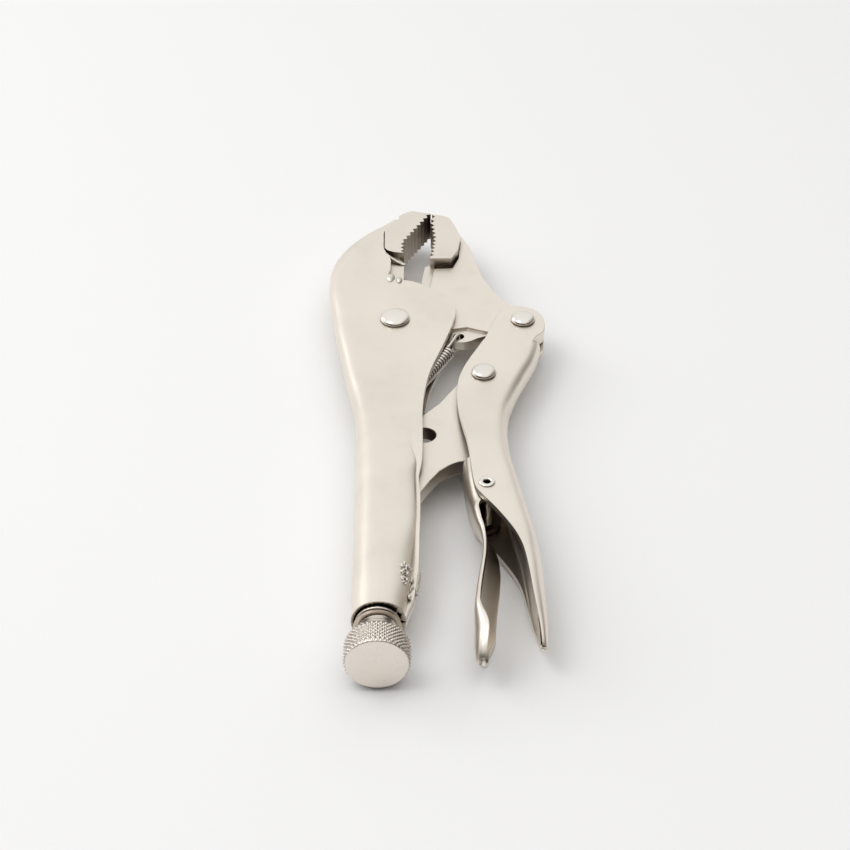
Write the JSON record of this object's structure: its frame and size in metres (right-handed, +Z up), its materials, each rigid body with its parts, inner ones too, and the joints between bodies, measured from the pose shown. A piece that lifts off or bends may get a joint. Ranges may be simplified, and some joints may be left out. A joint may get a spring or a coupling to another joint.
{
  "type": "locking pliers",
  "caption": "Curved-jaw locking pliers with toggle link, knurled adjusting screw, release lever and tension spring.",
  "frame": {"origin": "centre of the bottom of the closed tool's box, with the tool lying on its side", "axes": "+Y towards the jaws, +X towards the hand lever, +Z up along the rivets"},
  "size_m": [0.0754, 0.2414, 0.0216],
  "materials": {
    "pressed_steel": "satin nickel plate",
    "forged_steel": "ground and satin nickel plated",
    "turned_steel": "turned, knurled and nickel plated",
    "rivet_steel": "polished nickel plate",
    "weld": "rough, plated over",
    "spring_wire": "bright plated wire"
  },
  "bodies": {
    "body": {"body_shell": "pressed_steel", "fixed_jaw": "forged_steel", "jaw_weld_beads": "weld", "seam_weld": "weld", "main_pivot_rivet": "rivet_steel", "tension_spring": "spring_wire"},
    "moving_jaw": {"moving_jaw_shell": "pressed_steel", "moving_jaw_insert": "forged_steel"},
    "hand_lever": {"lever_shell": "pressed_steel", "lever_pivot_rivet": "rivet_steel", "toggle_pivot_rivet": "rivet_steel", "release_eyelet": "rivet_steel"},
    "toggle_link": {"toggle_link": "pressed_steel"},
    "release_lever": {"release_lever": "pressed_steel"},
    "screw_shank": {"adjusting_screw": "turned_steel"},
    "screw_knob": {"adjusting_knob": "turned_steel"}
  },
  "joints": [
    {"name": "jaw_pivot", "type": "hinge", "parent": "body", "child": "moving_jaw", "pos_m": [-0.01415, 0.0519, 0.0108], "axis": [0, 0, -1], "range_deg": [0, 30], "deforming": ["tension_spring"]},
    {"name": "lever_pivot", "type": "hinge", "parent": "moving_jaw", "child": "hand_lever", "pos_m": [0.03015, 0.0513, 0.0108], "axis": [0, 0, 1], "range_deg": [0, 90]},
    {"name": "toggle_pivot", "type": "hinge", "parent": "hand_lever", "child": "toggle_link", "pos_m": [0.01605, 0.0199, 0.0108], "axis": [0, 0, -1], "range_deg": [0, 82.5]},
    {"name": "release_pivot", "type": "hinge", "parent": "hand_lever", "child": "release_lever", "pos_m": [0.01585, -0.0461, 0.0108], "axis": [0, 0, 1], "range_deg": [0, 9]},
    {"name": "screw_travel", "type": "slide", "parent": "body", "child": "screw_shank", "axis": [0, 1, 0], "range_m": [-0.0105, 0.00525]},
    {"name": "knob_turn", "type": "hinge", "parent": "screw_shank", "child": "screw_knob", "pos_m": [-0.01805, -0.1151, 0.0108], "axis": [0, 1, 0], "range_deg": [-2165, 1085]}
  ],
  "couplings": [
    {"joint": "lever_pivot", "follows": "jaw_pivot", "ratio": 3},
    {"joint": "toggle_pivot", "follows": "jaw_pivot", "ratio": 2.75},
    {"joint": "knob_turn", "follows": "screw_travel", "rad_per_m": 3590.4}
  ]
}
